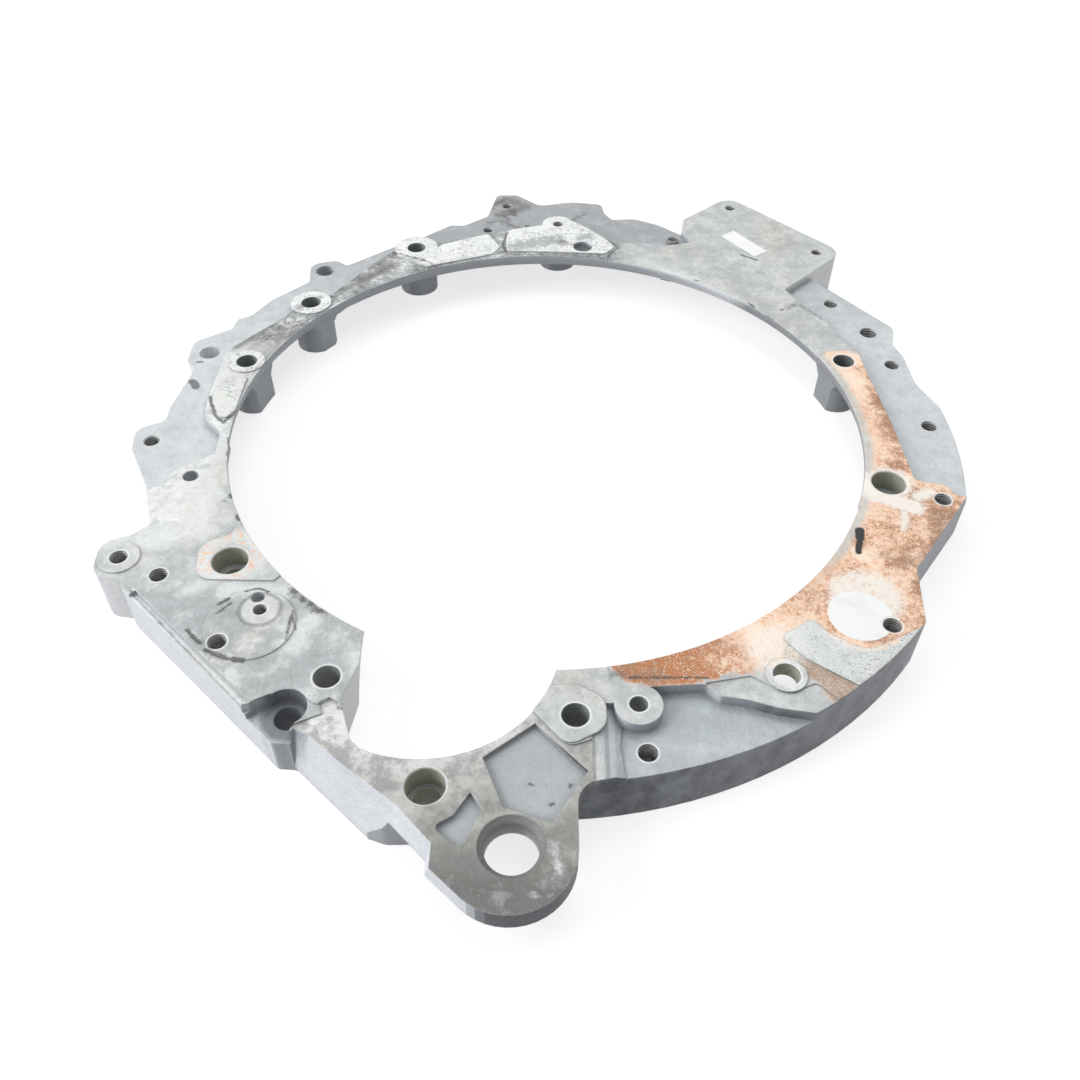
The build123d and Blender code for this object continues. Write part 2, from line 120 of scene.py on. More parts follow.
def holes(radius: float, *places: Place) -> tuple[Hole, ...]:
    """Gives holes at several places one radius.

    Args:
        radius: Their radius.
        *places: Their places.

    Returns:
        The holes.
    """
    return tuple((*place, radius) for place in places)


# Colours that several finishes share.
PALE_METAL = shade(226, 229, 228)
DULL_METAL = shade(164, 167, 168)
# Pale scraped metal, also used as painted highlight on the rims round the hole mouths.
SCRAPED_METAL_AND_HIGHLIGHT = shade(238, 241, 240)
# Pale edge colour: partly worn metal and partly painted highlight, also the bead's painted highlight lines.
WORN_EDGE_AND_HIGHLIGHT = shade(228, 231, 232)
# Dark grey for soot, smudges and cracks, also used as painted shade in creases and in the bead's groove.
SOOT_AND_SHADE = shade(94, 94, 94)
GRIME = shade(56, 56, 56)


class Level(Enum):
    """Heights that tell the plate's faces apart, in millimetres."""

    SHELF = 24.0
    PANEL = 25.0
    OVER_PANEL = 25.7
    LOWERED = 26.0
    LIP = 27.2
    LOBE = 27.3
    BAND = 28.1
    LAND = 28.7


class Thread(Enum):
    """The plate's sizes of thread, by core diameter and pitch in millimetres."""

    SMALL = (6.8, 1.25)
    MEDIUM = (8.5, 1.5)
    LARGE = (10.2, 1.75)
    RINGED = (6.4, 1.25)

    def __init__(self, core: float, pitch: float) -> None:
        """Keeps the two measures under their names."""
        self.core = core
        self.pitch = pitch


class Field:
    """A number that varies over a surface, with arithmetic that adds Math nodes."""

    def __init__(self, painter: "Painter", socket: bpy.types.NodeSocket) -> None:
        """Wraps a node's output.

        Args:
            painter: The painter whose node tree holds the output.
            socket: The output itself.
        """
        self.painter = painter
        self.socket = socket

    def __add__(self, other: "Amount") -> "Field":
        """Sum with a number or field."""
        return self.painter.math("ADD", self, other)

    __radd__ = __add__

    def __mul__(self, other: "Amount") -> "Field":
        """Product with a number or field."""
        return self.painter.math("MULTIPLY", self, other)

    __rmul__ = __mul__

    def __sub__(self, other: "Amount") -> "Field":
        """Difference from a number or field."""
        return self.painter.math("SUBTRACT", self, other)

    def __rsub__(self, other: "Amount") -> "Field":
        """A number less this field."""
        return self.painter.math("SUBTRACT", other, self)

    def above(self, edge: "Amount", soft: float) -> "Field":
        """One where the field is above an edge and zero below it.

        Args:
            edge: Where the change is centred.
            soft: How far the change reaches to each side.

        Returns:
            A mask from 0 to 1.
        """
        return self.painter.math("MULTIPLY_ADD", self - edge, 0.5 / soft, 0.5, clamp=True)

    def below(self, edge: "Amount", soft: float) -> "Field":
        """The opposite of above.

        Args:
            edge: Where the change is centred.
            soft: How far the change reaches to each side.

        Returns:
            A mask from 0 to 1.
        """
        return self.painter.math("MULTIPLY_ADD", self - edge, -0.5 / soft, 0.5, clamp=True)

    def between(self, low: float, high: float, soft: float) -> "Field":
        """One between two edges and zero outside them.

        Args:
            low: Lower edge.
            high: Upper edge.
            soft: How far each change reaches.

        Returns:
            A mask from 0 to 1.
        """
        return self.above(low, soft) * self.below(high, soft)


Amount = Union[float, Field]


class Painter:
    """Adds nodes to one material, joins them and keeps the colour that they have painted so far."""

    def __init__(self, name: str, holder: Any = None) -> None:
        """Makes an empty material, or empties what is to be painted.

        Args:
            name: The material's name.
            holder: A world to paint instead of a new material.
        """
        self.holder = holder or bpy.data.materials.new(name)
        self.holder.use_nodes = True
        self.tree = self.holder.node_tree
        self.tree.nodes.clear()
        self.colour: Any = None
        self.source = self.node("ShaderNodeTexCoord").outputs["Object"]
        self.place = self.scaled(self.vector("SUBTRACT", self.source, plan(0, 0)), 1 / MM)
        self.flat = self.vector("MULTIPLY", self.place, (1.0, 1.0, 0.0))
        split = self.node("ShaderNodeSeparateXYZ")
        self.plug(split.inputs[0], self.place)
        self.x, self.y, self.z = (Field(self, output) for output in split.outputs)

    def node(self, kind: str, **settings: Any) -> bpy.types.Node:
        """Adds a node.

        Args:
            kind: The node's type name.
            **settings: Properties to set on it.

        Returns:
            The node.
        """
        made = self.tree.nodes.new(kind)
        for key, value in settings.items():
            setattr(made, key, value)
        return made

    def plug(self, socket: bpy.types.NodeSocket, value: Any) -> None:
        """Gives an input a value or a link.

        Args:
            socket: The input.
            value: A number, colour, field or output.
        """
        if isinstance(value, Field):
            value = value.socket
        if isinstance(value, bpy.types.NodeSocket):
            self.tree.links.new(value, socket)
        elif isinstance(value, tuple) and len(value) == 3 and socket.type == "RGBA":
            socket.default_value = (*value, 1.0)
        else:
            socket.default_value = value

    def math(self, operation: str, *values: Amount, clamp: bool = False) -> Field:
        """Adds one Math node.

        Args:
            operation: The node's operation.
            *values: Its inputs in order.
            clamp: Whether the result is kept between 0 and 1.

        Returns:
            The result.
        """
        made = self.node("ShaderNodeMath", operation=operation)
        for socket, value in zip(made.inputs, values):
            self.plug(socket, value)
        if not clamp:
            return Field(self, made.outputs[0])
        limited = self.node("ShaderNodeClamp")
        self.plug(limited.inputs["Value"], made.outputs[0])
        return Field(self, limited.outputs[0])

    def mapped(self, shift: float, stretch: Sequence[float]) -> bpy.types.NodeSocket:
        """Places a pattern round the opening's centre, in millimetres.

        Args:
            shift: Moves the pattern, so that two of one size differ.
            stretch: Scale of the pattern along each axis.

        Returns:
            The place that the pattern reads.
        """
        moved = self.node("ShaderNodeMapping")
        self.plug(moved.inputs["Vector"], self.source)
        offsets = (shift, shift * 0.7, shift * 0.3)
        centre = plan(0, 0) / MM
        moved.inputs["Location"].default_value = [o - c * s for o, c, s in zip(offsets, centre, stretch)]
        moved.inputs["Scale"].default_value = [s / MM for s in stretch]
        return moved.outputs[0]

    def noise(self, grain: float, detail: float = 3.0, roughness: float = 0.5, shift: float = 0.0,
              stretch: Sequence[float] = (1.0, 1.0, 1.0)) -> Field:
        """Adds a noise pattern.

        Args:
            grain: Size of its features in millimetres.
            detail: How many finer copies are added.
            roughness: How strong the finer copies are.
            shift: Moves the pattern, so that two of one size differ.
            stretch: Scale of the pattern along each axis.

        Returns:
            The pattern, about 0.5 on average.
        """
        made = self.node("ShaderNodeTexNoise")
        self.plug(made.inputs["Vector"], self.mapped(shift, stretch))
        made.inputs["Scale"].default_value = 1 / grain
        made.inputs["Detail"].default_value = detail
        made.inputs["Roughness"].default_value = roughness
        return Field(self, made.outputs["Fac"])

    def cells(self, grain: float) -> Field:
        """Adds a cell pattern, for pits.

        Args:
            grain: Distance between cells in millimetres.

        Returns:
            The distance from each cell's middle.
        """
        made = self.node("ShaderNodeTexVoronoi")
        self.plug(made.inputs["Vector"], self.mapped(0.0, (1.0, 1.0, 1.0)))
        made.inputs["Scale"].default_value = 1 / grain
        return Field(self, made.outputs["Distance"])

    def vector(self, operation: str, *values: Any, output: str = "Vector") -> bpy.types.NodeSocket:
        """Adds one Vector Math node.

        Args:
            operation: The node's operation.
            *values: Its inputs in order.
            output: Which of its outputs is wanted.

        Returns:
            The result.
        """
        made = self.node("ShaderNodeVectorMath", operation=operation)
        for socket, value in zip(made.inputs, values):
            self.plug(socket, value)
        return made.outputs[output]

    def scaled(self, value: Any, factor: Amount) -> bpy.types.NodeSocket:
        """Lengthens a vector or brightens a colour.

        Args:
            value: The vector or colour.
            factor: What it is multiplied by.

        Returns:
            The result.
        """
        made = self.node("ShaderNodeVectorMath", operation="SCALE")
        self.plug(made.inputs[0], value)
        self.plug(made.inputs["Scale"], factor)
        return made.outputs[0]

    def spot(self, x: float, y: float) -> Field:
        """Distance over the plate from one place, in millimetres."""
        return Field(self, self.vector("DISTANCE", self.flat, (x, y, 0.0), output="Value"))

    def stroke(self, start: Place, end: Place) -> Field:
        """Distance over the plate from a straight line.

        Args:
            start: Its first end.
            end: Its other end.

        Returns:
            The distance in millimetres.
        """
        across, along = end[0] - start[0], end[1] - start[1]
        squared = across * across + along * along
        from_start = self.vector("SUBTRACT", self.flat, (*start, 0.0))
        direction = (across / squared, along / squared, 0.0)
        share = self.vector("DOT_PRODUCT", from_start, direction, output="Value")
        kept = self.math("MULTIPLY", Field(self, share), 1.0, clamp=True)
        foot = self.scaled((across, along, 0.0), kept)
        return Field(self, self.vector("DISTANCE", from_start, foot, output="Value"))

    def track(self, points: Sequence[Place]) -> Field:
        """Distance over the plate from a chain of straight lines.

        Args:
            points: The chain's corners.

        Returns:
            The distance in millimetres.
        """
        nearest = self.stroke(points[0], points[1])
        for start, end in zip(points[1:], points[2:]):
            nearest = self.math("MINIMUM", nearest, self.stroke(start, end))
        return nearest

    def near(self, tracks: Sequence["Track"], wobble: Field, soft: float) -> Field:
        """Where a set of tracks runs, with ragged sides.

        Args:
            tracks: The tracks.
            wobble: How far the sides stray, in millimetres.
            soft: How far the sides fade.

        Returns:
            A mask from 0 to 1.
        """
        nearest = self.track(tracks[0].points) - tracks[0].width
        for item in tracks[1:]:
            nearest = self.math("MINIMUM", nearest, self.track(item.points) - item.width)
        return (nearest + wobble).below(0.0, soft)

    def edges(self, width: float) -> tuple[bpy.types.NodeSocket, Field]:
        """Finds the edges of the piece.

        Args:
            width: How far each edge reaches, in metres.

        Returns:
            A normal that rounds them, and how far it turns from the face.
        """
        rounded = self.node("ShaderNodeBevel", samples=4)
        rounded.inputs["Radius"].default_value = width
        true = self.node("ShaderNodeNewGeometry").outputs["True Normal"]
        along = self.vector("DOT_PRODUCT", rounded.outputs[0], true, output="Value")
        return rounded.outputs[0], 1.0 - Field(self, along)

    def creases(self, reach: float) -> Field:
        """How open the surface is, one on a flat face and less in its inner corners.

        Args:
            reach: How far a corner's closeness is felt, in metres.

        Returns:
            The openness.
        """
        made = self.node("ShaderNodeAmbientOcclusion", samples=4, only_local=True)
        made.inputs["Distance"].default_value = reach
        return Field(self, made.outputs["AO"])

    def layer(self, under: Any, over: Any, mask: Amount) -> bpy.types.NodeSocket:
        """Lays one colour over another.

        Args:
            under: The colour below.
            over: The colour on top.
            mask: How much of the top colour shows.

        Returns:
            The mixed colour.
        """
        made = self.node("ShaderNodeMix", data_type="RGBA")
        self.plug(made.inputs["Factor"], mask)
        self.plug(made.inputs[MIX_UNDER], under)
        self.plug(made.inputs[MIX_OVER], over)
        return made.outputs[MIX_RESULT]

    def coat(self, tint: Any, mask: Amount) -> None:
        """Lays a colour over all that has been painted so far.

        Args:
            tint: The colour.
            mask: How much of it shows.
        """
        self.colour = self.layer(self.colour, tint, mask)

    def graph(self, value: Field, points: Sequence[tuple[float, float]]) -> Field:
        """Reads a value off a line through points.

        Args:
            value: What is looked up.
            points: Pairs of input and result, in rising order of input.

        Returns:
            The result between the points.
        """
        low, high = points[0][0], points[-1][0]
        least = min(result for _, result in points)
        most = max(result for _, result in points)
        made = self.node("ShaderNodeValToRGB")
        self.plug(made.inputs["Fac"], (value - low) * (1 / (high - low)))
        stops = made.color_ramp.elements
        for index, (place, result) in enumerate(points):
            part = (place - low) / (high - low)
            stop = stops[index] if index < 2 else stops.new(part)
            stop.position = part
            level = (result - least) / (most - least)
            stop.color = (level, level, level, level)
        return Field(self, made.outputs["Alpha"]) * (most - least) + least

    def finish(self, colour: Any, roughness: Amount, metallic: float, height: Amount, depth: float,
               normal: Any = None) -> bpy.types.Material:
        """Joins everything into one surface.

        Args:
            colour: Its colour.
            roughness: Its roughness.
            metallic: How metallic it is.
            height: The bump pattern.
            depth: The bump's depth in metres.
            normal: A normal with rounded edges, if they look rounded.

        Returns:
            The finished material.
        """
        surface = self.node("ShaderNodeBsdfPrincipled")
        surface.inputs["Metallic"].default_value = metallic
        self.plug(surface.inputs["Base Color"], colour)
        self.plug(surface.inputs["Roughness"], roughness)
        bump = self.node("ShaderNodeBump")
        bump.inputs["Distance"].default_value = depth
        self.plug(bump.inputs["Height"], height)
        if normal is not None:
            self.plug(bump.inputs["Normal"], normal)
        self.plug(surface.inputs["Normal"], bump.outputs[0])
        output = self.node("ShaderNodeOutputMaterial")
        self.plug(output.inputs["Surface"], surface.outputs[0])
        return self.holder


@dataclass(frozen=True)
class Track:
    """A chain of straight lines over the plate that dirt or bare metal follows."""

    points: tuple[Place, ...]
    width: float


@dataclass(frozen=True)
class Mark:
    """Tracks in one colour, with how far their sides stray and fade and how well they cover."""

    tracks: tuple[Track, ...]
    colour: Colour
    stray: float
    fade: float
    cover: float


class Faces:
    """What every part of the casting's finish reads: where a point lies, on which face, and noise."""

    lobe_north: Border = (-160.0, 1.0)
    lobe_east: Border = (72.0, 3.0)
    block_north: Border = (-118.0, 12.0)
    block_east: Border = (-58.0, 6.0)

    def __init__(self, paint: Painter) -> None:
        """Adds the nodes that tell the faces apart.

        Args:
            paint: The casting's painter.
        """
        self.radius = paint.math("SQRT", paint.x * paint.x + paint.y * paint.y)
        self.angle = paint.math("ARCTAN2", paint.y, paint.x) * (180 / math.pi)
        facing = paint.node("ShaderNodeSeparateXYZ")
        paint.plug(facing.inputs[0], paint.node("ShaderNodeNewGeometry").outputs["True Normal"])
        self.up = Field(paint, facing.outputs["Z"]).above(0.75, 0.1)
        self.wall = 1.0 - self.up
        self.leftward = Field(paint, facing.outputs["X"]).below(-0.45, 0.15) * self.wall
        self.broad = paint.noise(38.0, 3.0, 0.55)
        self.patch = paint.noise(11.0, 5.0, 0.6, shift=31.0)
        self.fine = paint.noise(3.2, 5.0, 0.7, shift=57.0)
        self.grit = paint.noise(0.9, 3.0, 0.7, shift=83.0)
        self.brushed = paint.noise(4.0, 4.0, 0.6, shift=12.0, stretch=(1.0, 0.12, 1.0))
        self.top = self.up * paint.z.above(Level.LOWERED.value, 0.2)
        self.land = self.up * paint.z.above(Level.LAND.value, 0.05)
        self.low = self.up * paint.z.below(Level.SHELF.value, 0.2)
        self.lip = self.top * paint.z.below(Level.LIP.value, 0.1)
        southern = self.up * paint.y.below(*self.lobe_north)
        level = paint.z.between(Level.LOBE.value, Level.BAND.value, 0.1)
        self.lobe = southern * level * paint.x.below(*self.lobe_east)
        self.block = paint.y.below(*self.block_north) * paint.x.below(*self.block_east)


@dataclass(frozen=True)
class WallLightAndShade:
    """The upright faces, with painted light and shade: lit pale on the left, painted shade on the dark rim
    on the right.
    """

    side: Colour = shade(176, 180, 187)
    # left and pale are painted light on lit walls; shaded, rim and lobe are painted shade on walls in shade.
    left: Colour = shade(222, 225, 231)
    pale: Colour = shade(238, 240, 242)
    shaded: Colour = shade(152, 155, 160)
    rim: Colour = shade(128, 130, 135)
    lobe: Colour = shade(84, 88, 93)
    flange_south: Border = (118.0, 4.0)
    flange_west: Border = (130.0, 4.0)
    starter_north: Border = (-120.0, 4.0)
    starter_east: Border = (-62.0, 3.0)
    starter_reach: Border = (212.0, 4.0)
    ear_east: Border = (-190.0, 4.0)
    shaded_reach: Border = (192.0, 3.0)
    shaded_west: Border = (120.0, 5.0)
    outside_reach: Border = (205.0, 4.0)
    rim_span: Band = (-90.0, -41.0, 3.0)
    rim_shade_deepens: Border = (-70.0, 12.0)
    tip_north: Border = (-262.0, 10.0)

    def lay(self, paint: Painter, on: Faces) -> None:
        """Paints light and shade onto the upright faces.

        Args:
            paint: The casting's painter.
            on: Its faces and noise.
        """
        paint.colour = self.side
        # Painted light: walls that face left are made pale.
        paint.coat(self.left, on.leftward)
        # Painted light on the flange's and the starter's walls and on the ear, lit pale.
        flange = paint.y.above(*self.flange_south) * paint.x.above(*self.flange_west)
        starter = paint.y.below(*self.starter_north) * paint.x.below(*self.starter_east)
        pale = flange + starter * on.radius.below(*self.starter_reach)
        pale = paint.math("MAXIMUM", pale, paint.x.below(*self.ear_east))
        paint.coat(self.pale, pale * (1.0 - on.leftward))
        # Painted shade on the inner walls of the opening's right side.
        paint.coat(self.shaded, on.radius.below(*self.shaded_reach) * paint.x.above(*self.shaded_west))
        # Painted shade on the outer rim's walls at the lower right, darkest towards the lobe and blotched
        # with the side colour.
        outside = on.wall * on.radius.above(*self.outside_reach)
        rim = outside * on.angle.between(*self.rim_span)
        blotch = on.patch.above(0.5, 0.12) * 0.45
        shaded_rim_colour = paint.layer(self.rim, self.lobe, on.angle.below(*self.rim_shade_deepens))
        paint.coat(paint.layer(shaded_rim_colour, self.side, blotch), rim)
        # Painted shade on the walls round the lobe's tip.
        paint.coat(self.lobe, on.wall * paint.y.below(*self.tip_north) * (1.0 - on.leftward))


@dataclass(frozen=True)
class FlatFinish:
    """The faces that look up, zone by zone, with the worn and scraped patches that lie all over them."""

    cast: Colour = shade(194, 198, 198)
    warm: Colour = shade(200, 198, 186)
    west: Colour = shade(238, 241, 240)
    ledge: Colour = shade(204, 209, 212)
    far_ledge: Colour = shade(164, 167, 170)
    pocket: Colour = shade(181, 188, 191)
    panel: Colour = shade(174, 179, 182)
    arm: Colour = shade(226, 227, 225)
    lobe: Colour = shade(162, 162, 157)
    lobe_tip: Colour = shade(108, 108, 105)
    lip: Colour = shade(226, 230, 232)
    block: Colour = shade(178, 184, 185)
    land: Colour = shade(200, 204, 203)
    ledge_fades: Border = (145.0, 60.0)
    pocket_north: Border = (-150.0, 5.0)
    west_edge: Border = (-170.0, 9.0)
    west_south: Border = (-92.0, 12.0)
    lobe_darkens: Border = (-222.0, 22.0)
    lobe_darkens_east: Border = (-20.0, 25.0)
    tip_darkens: Border = (-255.0, 13.0)
    land_north: Border = (-100.0, 5.0)
    scrapes: tuple[Track, ...] = (
        Track(((-173.0, -56.0), (-169.0, -86.0)), 7.0), Track(((-192.0, -95.0), (-174.0, -87.0)), 6.0),
        Track(((-146.0, -125.0), (-122.0, -126.0)), 4.0), Track(((-106.0, -143.0), (-112.0, -158.0)), 4.5),
        Track(((-84.0, -162.0), (-80.0, -172.0)), 3.0), Track(((-152.0, -118.0), (-165.0, -126.0)), 3.0),
        Track(((62.0, 166.0), (104.0, 136.0), (120.0, 118.0)), 3.0),
        Track(((4.6, -256.9), (5.9, -264.9)), 1.0), Track(((1.0, -268.0), (6.0, -262.0)), 0.6),
    )

    def lay(self, paint: Painter, on: Faces) -> None:
        """Colours the faces that look up.

        Args:
            paint: The casting's painter.
            on: Its faces and noise.
        """
        paint.coat(self.ledge, on.up)
        paint.coat(self.far_ledge, on.low * paint.y.above(*self.ledge_fades))
        paint.coat(self.pocket, on.low * paint.y.below(*self.pocket_north))
        paint.coat(self.panel, on.up * paint.z.between(Level.PANEL.value, Level.OVER_PANEL.value, 0.1))
        paint.coat(self.cast, on.top)
        paint.coat(self.block, on.top * on.block)
        paint.coat(DULL_METAL, on.top * on.broad.above(0.56, 0.1) * 0.35)
        western = paint.x.below(*self.west_edge) * paint.y.above(*self.west_south)
        paint.coat(self.west, on.top * western * 0.9)
        paint.coat(self.lip, on.lip)
        darker = paint.y.below(*self.lobe_darkens) + paint.x.above(*self.lobe_darkens_east) * 0.5
        tapering = paint.layer(self.arm, self.lobe, darker)
        tapering = paint.layer(tapering, self.lobe_tip, paint.y.below(*self.tip_darkens))
        paint.coat(tapering, on.lobe)
        paint.coat(self.land, on.land * paint.y.below(*self.land_north) * (1.0 - on.block))
        aluminium = on.top * (1.0 - on.lobe)
        paint.coat(PALE_METAL, aluminium * on.brushed.above(0.63, 0.05) * 0.22)
        paint.coat(self.warm, aluminium * (on.broad * 0.7 + on.patch * 0.5).above(0.66, 0.08) * 0.45)
        blotched = aluminium * (0.5 + on.block * 0.2) + on.lobe * 0.3 + on.low * 0.2
        pale_spots = (on.patch * 0.75 + on.fine * 0.35).above(0.615, 0.06)
        paint.coat(PALE_METAL, blotched * pale_spots * 0.75)
        dull_spots = (on.patch * 0.75 + on.fine * 0.35).below(0.495, 0.05)
        paint.coat(DULL_METAL, blotched * dull_spots * 0.8)
        paint.coat(self.lobe_tip, on.lobe * dull_spots * 0.4)
        scraped = paint.near(self.scrapes, (on.patch - 0.5) * 30 + (on.fine - 0.5) * 9, 2.0)
        paint.coat(PALE_METAL, scraped * on.top * 0.75)


@dataclass(frozen=True)
class PadFinish:
    """The scraped white pads on the far left, and the grimy band between them."""

    west_pad: Colour = shade(226, 229, 225)
    south: Border = (-8.0, 6.0)
    east: Border = (48.0, 3.0)
    band_south: Border = (66.0, 10.0)
    west_pad_north: Border = (60.0, 12.0)
    lines_south: Border = (40.0, 10.0)
    inner_line: Band = (171.6, 172.2, 0.3)
    outer_line: Band = (174.6, 175.0, 0.3)
    dirt: tuple[Track, ...] = (
        Track(((-20.0, 181.0), (8.0, 190.0)), 6.0), Track(((-92.0, 166.0), (-84.0, 163.0)), 2.0),
        Track(((28.0, 196.0), (22.0, 190.0)), 3.0),
    )

    def lay(self, paint: Painter, on: Faces) -> None:
        """Whitens the pads and grimes the band.

        Args:
            paint: The casting's painter.
            on: Its faces and noise.
        """
        far_left = paint.y.above(*self.south) * paint.x.below(*self.east)
        pads = on.land * far_left
        between = on.top * far_left * (1.0 - on.land) * paint.y.above(*self.band_south)
        mixed = on.patch * 0.7 + on.fine * 0.6
        paint.coat(DULL_METAL, between * 0.7)
        paint.coat(SCRAPED_METAL_AND_HIGHLIGHT, between * mixed.above(0.67, 0.04) * 0.9)
        dirty = between * (on.fine * 0.9 + on.broad * 0.4).above(0.66, 0.05)
        paint.coat(GRIME, dirty * 0.7)
        paint.coat(SCRAPED_METAL_AND_HIGHLIGHT, pads)
        paint.coat(self.west_pad, pads * paint.y.below(*self.west_pad_north))
        dull = paint.near(self.dirt, (on.fine - 0.5) * 20 + (on.patch - 0.5) * 16, 2.0)
        paint.coat(DULL_METAL, pads * dull * 0.75)
        crack = paint.math("ABSOLUTE", on.patch - 0.5).below(0.012, 0.01) * on.fine.above(0.45, 0.1)
        paint.coat(SOOT_AND_SHADE, pads * crack * 0.7)
        speckle = pads * (on.grit * 0.5 + on.patch * 0.6).above(0.62, 0.04)
        paint.coat(DULL_METAL, speckle * 0.6)
        lines = on.radius.between(*self.inner_line) + on.radius.between(*self.outer_line)
        lined = on.top * far_left * paint.y.above(*self.lines_south) * lines * on.fine.above(0.42, 0.08)
        paint.coat(SOOT_AND_SHADE, lined * 0.6)


@dataclass(frozen=True)
class RustFinish:
    """Rust over the right side, with its bare patches, and round the left dowel bore."""

    pale: Colour = shade(250, 227, 206)
    orange: Colour = shade(234, 180, 140)
    brown: Colour = shade(156, 114, 86)
    tail: Colour = shade(184, 118, 70)
    grey: Colour = shade(156, 136, 122)
    cream: Colour = shade(244, 239, 232)
    plateau_span: Band = (-64.0, -36.0, 0.5)
    plateau_west: Border = (104.0, 1.0)
    under_label: Place = (142.6, -137.8)
    under_label_span: Band = (14.0, 20.5, 0.8)
    under_label_north: Border = (-139.0, 4.0)
    bare_lip_reach: Border = (174.5, 1.5)
    bare_lip_turn: Border = (-40.0, 6.0)
    heavy_turn: Border = (-64.0, 6.0)
    tail_turn: Border = (-64.0, 4.0)
    above_label: Place = (147.0, -127.0)
    above_label_reach: Border = (17.0, 2.5)
    sprinkling: Place = (101.0, -158.0)
    sprinkling_reach: Border = (13.0, 4.0)
    peppered_west: Border = (124.0, 14.0)
    dowel_stain: Place = (-149.3, -104.0)
    dowel_stain_span: Band = (9.0, 17.0, 2.0)
    # How far out the rust reaches, as pairs of angle and radius.
    reach: tuple[tuple[float, float], ...] = (
        (-84.0, 150.0), (-80.5, 170.0), (-79.0, 179.0), (-75.0, 186.0), (-68.0, 189.0),
        (-60.0, 193.0), (-54.0, 203.0), (-48.0, 214.0), (-42.0, 232.0), (10.0, 232.0),
        (18.0, 200.0), (20.5, 192.0), (21.8, 178.0), (23.0, 150.0),
    )
    channel: tuple[Track, ...] = (Track(((112.0, -160.0), (124.0, -171.0), (129.5, -184.0)), 8.0),)
    heavy: tuple[Track, ...] = (
        Track(((182.6, 46.0), (186.2, 20.2), (187.4, -6.0), (186.9, -31.0)), 3.0),
        Track(((197.0, -75.0), (186.0, -98.0), (177.0, -122.0)), 6.0),
        Track(((151.6, -93.0), (164.0, -103.0), (176.0, -102.6)), 3.0),
        Track(((131.7, -141.5), (139.4, -151.8), (152.8, -151.7)), 2.0),
    )
    gaps: tuple[Track, ...] = (
        Track(((163.4, -45.0), (165.0, -56.0), (184.0, -66.0)), 5.5),
        Track(((180.0, -66.0), (176.0, -80.0)), 2.0), Track((EAST_DOWEL, (176.7, -47.9)), 11.0),
        Track(((188.5, -58.5), (194.5, -55.0)), 3.6),
    )

    def lay(self, paint: Painter, on: Faces) -> None:
        """Lays the rust, then what is bare or speckled in it.

        Args:
            paint: The casting's painter.
            on: Its faces and noise.
        """
        edge = (on.broad - 0.5) * 14 + (on.fine - 0.5) * 8
        reach = paint.graph(on.angle, self.reach)
        plateau = on.land * on.angle.between(*self.plateau_span) * paint.x.above(*self.plateau_west)
        stained = (reach - on.radius + edge).above(0.0, 1.5) * on.up * paint.z.above(Level.BAND.value, 0.1)
        ragged = (on.fine - 0.5) * 7 + (on.grit - 0.5) * 3
        channel = paint.near(self.channel, ragged, 1.0)
        ring = (paint.spot(*self.under_label) + ragged * 0.5).between(*self.under_label_span)
        ring = ring * paint.y.below(*self.under_label_north)
        stained = paint.math("MAXIMUM", stained * (1.0 - plateau), on.land * ring)
        stained = paint.math("MAXIMUM", stained, on.top * channel * (1.0 - plateau))
        bare_lip = on.radius.below(*self.bare_lip_reach) * on.angle.above(*self.bare_lip_turn)
        stained = stained * (1.0 - bare_lip * 0.85)
        paint.coat(self.pale, stained)
        heavy = paint.near(self.heavy, ragged + (on.patch - 0.5) * 26, 6.0)
        heavy = paint.math("MAXIMUM", heavy, on.angle.below(*self.heavy_turn))
        speckle = on.grit * 0.8 + on.fine * 0.5 + on.broad * 0.5 + heavy * 0.14
        paint.coat(self.orange, stained * speckle.above(0.88, 0.05) * 0.95)
        dark = on.grit * 0.7 + on.fine * 0.55 + on.broad * 0.6 + heavy * 0.2
        paint.coat(self.brown, stained * dark.above(1.0, 0.04) * 0.9)
        tail = stained * on.angle.below(*self.tail_turn) * (on.patch * 0.8 + on.fine * 0.4).above(0.55, 0.06)
        paint.coat(self.tail, tail * 0.85)
        greyed = on.top * channel * (1.0 - plateau) * on.grit.above(0.38, 0.06)
        paint.coat(self.grey, greyed * 0.85)
        chips = stained * (on.grit * 0.9 + on.patch * 0.3).above(0.68, 0.03)
        paint.coat(self.cream, chips * 0.5)
        clean = paint.near(self.gaps, ragged, 1.6)
        above = (paint.spot(*self.above_label) + ragged * 2).below(*self.above_label_reach)
        clean = paint.math("MAXIMUM", clean, above * on.fine.above(0.4, 0.06))
        sprinkled = (paint.spot(*self.sprinkling) + ragged).below(*self.sprinkling_reach)
        clean = paint.math("MAXIMUM", clean, sprinkled * on.grit.above(0.46, 0.05))
        paint.coat(self.cream, clean * on.top * paint.z.above(Level.BAND.value, 0.1) * 0.9)
        pale = plateau * (on.grit + on.fine).above(0.93, 0.08)
        paint.coat(PALE_METAL, pale * 0.8)
        peppered = plateau * (on.grit * 0.7 + on.fine * 0.5).above(0.68, 0.03)
        paint.coat(SOOT_AND_SHADE, peppered * paint.x.above(*self.peppered_west) * 0.75)
        dowel_stain = (paint.spot(*self.dowel_stain) + ragged).between(*self.dowel_stain_span) * on.land
        paint.coat(PALE_METAL, dowel_stain * 0.8)
        paint.coat(self.orange, dowel_stain * on.fine.above(0.55, 0.04) * 0.7)


